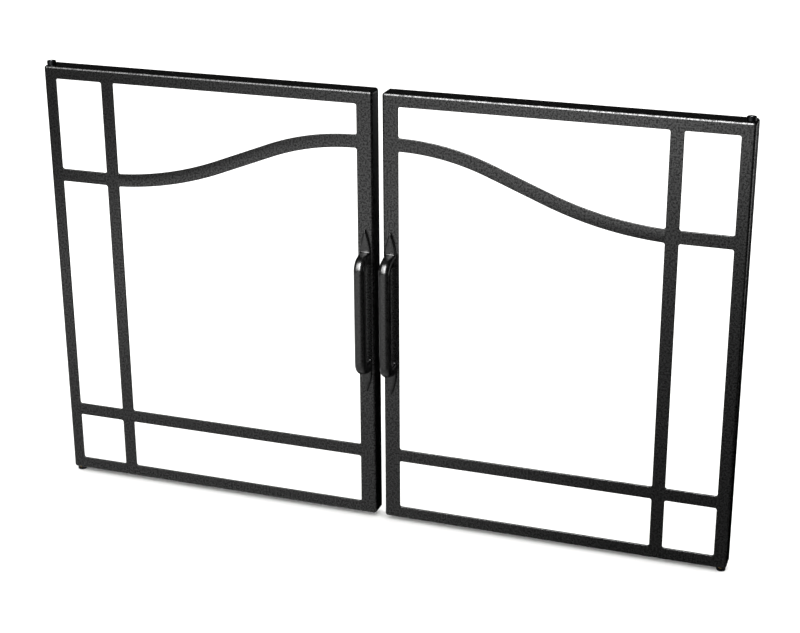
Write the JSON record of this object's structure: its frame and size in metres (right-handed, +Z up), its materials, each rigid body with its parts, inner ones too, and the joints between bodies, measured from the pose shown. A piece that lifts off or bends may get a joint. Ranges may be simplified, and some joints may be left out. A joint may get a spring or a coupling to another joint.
{
  "type": "fireplace doors",
  "caption": "Hinged pair of steel fireplace doors with barred panes, an arched cross bar and upright cast pulls, carried on spring-loaded corner pivots.",
  "frame": {"origin": "midway between the leaves, in the plane of their front faces, at the lower ends of the bottom pivot bushes", "axes": "+X to the right across the pair, +Y back towards the fire, +Z up; the handles are on the -Y side"},
  "size_m": [0.864, 0.0505, 0.5511],
  "materials": {
    "black_paint": "satin black heat-resistant powder coat on steel, fine grain",
    "cast_handle": "satin black paint on cast iron",
    "zinc_steel": "zinc-plated steel",
    "spring_steel": "drawn spring steel wire",
    "brass": "plain brass",
    "bush_steel": "black oxide steel"
  },
  "bodies": {
    "surround_bushes": {"left_top_bush": "bush_steel", "left_bottom_bush": "bush_steel", "right_top_bush": "bush_steel", "right_bottom_bush": "bush_steel"},
    "left_leaf": {"left_hinge_stile": "black_paint", "left_meeting_stile": "black_paint", "left_top_rail": "black_paint", "left_bottom_rail": "black_paint", "left_muntin": "black_paint", "left_upper_side_bar": "black_paint", "left_lower_side_bar": "black_paint", "left_lower_main_bar": "black_paint", "left_wave_bar": "black_paint", "left_corner_welds": "black_paint", "left_handle": "cast_handle", "left_handle_screws": "zinc_steel", "left_handle_washers": "zinc_steel", "left_pin_bracket": "black_paint", "left_bottom_pin": "zinc_steel", "left_bottom_washer": "brass"},
    "left_pin": {"left_top_pin": "zinc_steel", "left_pin_spring": "spring_steel", "left_pin_clip": "spring_steel", "left_pin_knob": "zinc_steel"},
    "right_leaf": {"right_hinge_stile": "black_paint", "right_meeting_stile": "black_paint", "right_top_rail": "black_paint", "right_bottom_rail": "black_paint", "right_muntin": "black_paint", "right_upper_side_bar": "black_paint", "right_lower_side_bar": "black_paint", "right_lower_main_bar": "black_paint", "right_wave_bar": "black_paint", "right_corner_welds": "black_paint", "right_handle": "cast_handle", "right_handle_screws": "zinc_steel", "right_handle_washers": "zinc_steel", "right_pin_bracket": "black_paint", "right_bottom_pin": "zinc_steel", "right_bottom_washer": "brass"},
    "right_pin": {"right_top_pin": "zinc_steel", "right_pin_spring": "spring_steel", "right_pin_clip": "spring_steel", "right_pin_knob": "zinc_steel"}
  },
  "joints": [
    {"name": "left_leaf_swing", "type": "hinge", "parent": "surround_bushes", "child": "left_leaf", "pos_m": [-0.425, 0.008, 0], "axis": [0, 0, -1], "range_deg": [0, 110]},
    {"name": "left_pin_retract", "type": "slide", "parent": "left_leaf", "child": "left_pin", "axis": [0, 0, -1], "range_m": [0, 0.008], "stiffness_N_per_m": 600, "springref_m": -0.008, "deforming": ["left_pin_spring"]},
    {"name": "right_leaf_swing", "type": "hinge", "parent": "surround_bushes", "child": "right_leaf", "pos_m": [0.425, 0.008, 0], "axis": [0, 0, 1], "range_deg": [0, 110]},
    {"name": "right_pin_retract", "type": "slide", "parent": "right_leaf", "child": "right_pin", "axis": [0, 0, -1], "range_m": [0, 0.008], "stiffness_N_per_m": 600, "springref_m": -0.008, "deforming": ["right_pin_spring"]}
  ]
}
